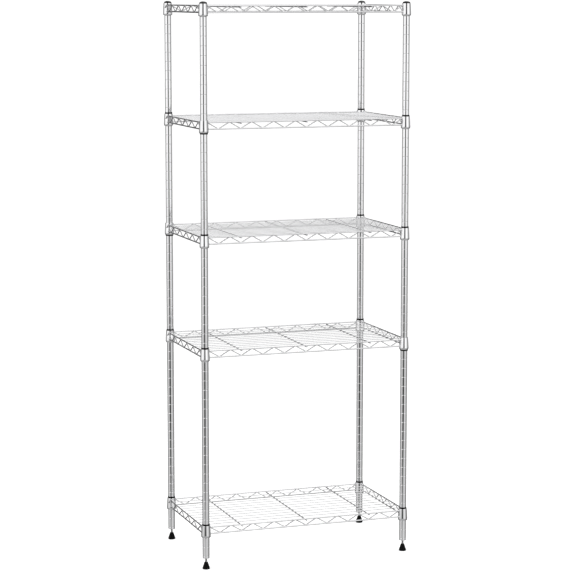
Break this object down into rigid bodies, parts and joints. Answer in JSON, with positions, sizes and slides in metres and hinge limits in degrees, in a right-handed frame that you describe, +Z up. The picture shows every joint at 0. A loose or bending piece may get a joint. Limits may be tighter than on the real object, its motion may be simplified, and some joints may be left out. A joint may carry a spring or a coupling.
{
  "type": "wire shelving rack",
  "caption": "Free-standing chromed wire shelving rack: open wire shelves on four grooved posts with split sleeves, domed caps and levelling feet.",
  "frame": {"origin": "centre of the rack on the floor, midway between the four posts", "axes": "+Z up, +X to the right along the shelves' width, +Y towards the back"},
  "size_m": [0.6002, 0.3602, 1.524],
  "materials": {
    "chrome_post": "bright chromed steel tube",
    "chrome_collar": "bright chromed drawn steel",
    "chrome_wire": "bright chromed steel wire",
    "zinc_steel": "bright zinc plated",
    "black_sleeve": "moulded, satin",
    "black_cap": "moulded, glossy",
    "black_foot": "moulded, satin"
  },
  "bodies": {
    "frame": {"post_lower_front_left": "chrome_post", "post_upper_front_left": "chrome_post", "post_cap_front_left": "black_cap", "post_lower_front_right": "chrome_post", "post_upper_front_right": "chrome_post", "post_cap_front_right": "black_cap", "post_lower_back_left": "chrome_post", "post_upper_back_left": "chrome_post", "post_cap_back_left": "black_cap", "post_lower_back_right": "chrome_post", "post_upper_back_right": "chrome_post", "post_cap_back_right": "black_cap", "post_joint_studs": "zinc_steel", "post_joint_sockets": "zinc_steel", "foot_inserts": "zinc_steel", "shelf_1_sleeves_left": "black_sleeve", "shelf_1_sleeves_right": "black_sleeve", "shelf_2_sleeves_left": "black_sleeve", "shelf_2_sleeves_right": "black_sleeve", "shelf_3_sleeves_left": "black_sleeve", "shelf_3_sleeves_right": "black_sleeve", "shelf_4_sleeves_left": "black_sleeve", "shelf_4_sleeves_right": "black_sleeve", "shelf_5_sleeves_left": "black_sleeve", "shelf_5_sleeves_right": "black_sleeve"},
    "shelf_1": {"shelf_1_collars": "chrome_collar", "shelf_1_rims": "chrome_wire", "shelf_1_webs": "chrome_wire", "shelf_1_cross_wires": "chrome_wire", "shelf_1_surface_wires": "chrome_wire"},
    "shelf_2": {"shelf_2_collars": "chrome_collar", "shelf_2_rims": "chrome_wire", "shelf_2_webs": "chrome_wire", "shelf_2_cross_wires": "chrome_wire", "shelf_2_surface_wires": "chrome_wire"},
    "shelf_3": {"shelf_3_collars": "chrome_collar", "shelf_3_rims": "chrome_wire", "shelf_3_webs": "chrome_wire", "shelf_3_cross_wires": "chrome_wire", "shelf_3_surface_wires": "chrome_wire"},
    "shelf_4": {"shelf_4_collars": "chrome_collar", "shelf_4_rims": "chrome_wire", "shelf_4_webs": "chrome_wire", "shelf_4_cross_wires": "chrome_wire", "shelf_4_surface_wires": "chrome_wire"},
    "shelf_5": {"shelf_5_collars": "chrome_collar", "shelf_5_rims": "chrome_wire", "shelf_5_webs": "chrome_wire", "shelf_5_cross_wires": "chrome_wire", "shelf_5_surface_wires": "chrome_wire"},
    "foot_front_left": {"foot_pad_front_left": "black_foot"},
    "foot_screw_front_left": {"foot_stud_front_left": "zinc_steel"},
    "foot_front_right": {"foot_pad_front_right": "black_foot"},
    "foot_screw_front_right": {"foot_stud_front_right": "zinc_steel"},
    "foot_back_left": {"foot_pad_back_left": "black_foot"},
    "foot_screw_back_left": {"foot_stud_back_left": "zinc_steel"},
    "foot_back_right": {"foot_pad_back_right": "black_foot"},
    "foot_screw_back_right": {"foot_stud_back_right": "zinc_steel"}
  },
  "joints": [
    {"name": "shelf_1_lift", "type": "slide", "parent": "frame", "child": "shelf_1", "axis": [0, 0, 1], "range_m": [0, 0.4441]},
    {"name": "shelf_2_lift", "type": "slide", "parent": "frame", "child": "shelf_2", "axis": [0, 0, 1], "range_m": [0, 0.2663]},
    {"name": "shelf_3_lift", "type": "slide", "parent": "frame", "child": "shelf_3", "axis": [0, 0, 1], "range_m": [0, 0.2663]},
    {"name": "shelf_4_lift", "type": "slide", "parent": "frame", "child": "shelf_4", "axis": [0, 0, 1], "range_m": [0, 0.2663]},
    {"name": "shelf_5_lift", "type": "slide", "parent": "frame", "child": "shelf_5", "axis": [0, 0, 1], "range_m": [0, 0.042]},
    {"name": "foot_front_left_travel", "type": "slide", "parent": "frame", "child": "foot_front_left", "axis": [0, 0, 1], "range_m": [-0.008, 0.01]},
    {"name": "foot_front_left_turn", "type": "hinge", "parent": "foot_front_left", "child": "foot_screw_front_left", "pos_m": [-0.287, -0.167, 0.02], "axis": [0, 0, 1], "range_deg": [-2880.5, 3600.5]},
    {"name": "foot_front_right_travel", "type": "slide", "parent": "frame", "child": "foot_front_right", "axis": [0, 0, 1], "range_m": [-0.008, 0.01]},
    {"name": "foot_front_right_turn", "type": "hinge", "parent": "foot_front_right", "child": "foot_screw_front_right", "pos_m": [0.287, -0.167, 0.02], "axis": [0, 0, 1], "range_deg": [-2880.5, 3600.5]},
    {"name": "foot_back_left_travel", "type": "slide", "parent": "frame", "child": "foot_back_left", "axis": [0, 0, 1], "range_m": [-0.008, 0.01]},
    {"name": "foot_back_left_turn", "type": "hinge", "parent": "foot_back_left", "child": "foot_screw_back_left", "pos_m": [-0.287, 0.167, 0.02], "axis": [0, 0, 1], "range_deg": [-2880.5, 3600.5]},
    {"name": "foot_back_right_travel", "type": "slide", "parent": "frame", "child": "foot_back_right", "axis": [0, 0, 1], "range_m": [-0.008, 0.01]},
    {"name": "foot_back_right_turn", "type": "hinge", "parent": "foot_back_right", "child": "foot_screw_back_right", "pos_m": [0.287, 0.167, 0.02], "axis": [0, 0, 1], "range_deg": [-2880.5, 3600.5]}
  ],
  "couplings": [
    {"joint": "foot_front_left_turn", "follows": "foot_front_left_travel", "rad_per_m": 6283.2},
    {"joint": "foot_front_right_turn", "follows": "foot_front_right_travel", "rad_per_m": 6283.2},
    {"joint": "foot_back_left_turn", "follows": "foot_back_left_travel", "rad_per_m": 6283.2},
    {"joint": "foot_back_right_turn", "follows": "foot_back_right_travel", "rad_per_m": 6283.2}
  ]
}
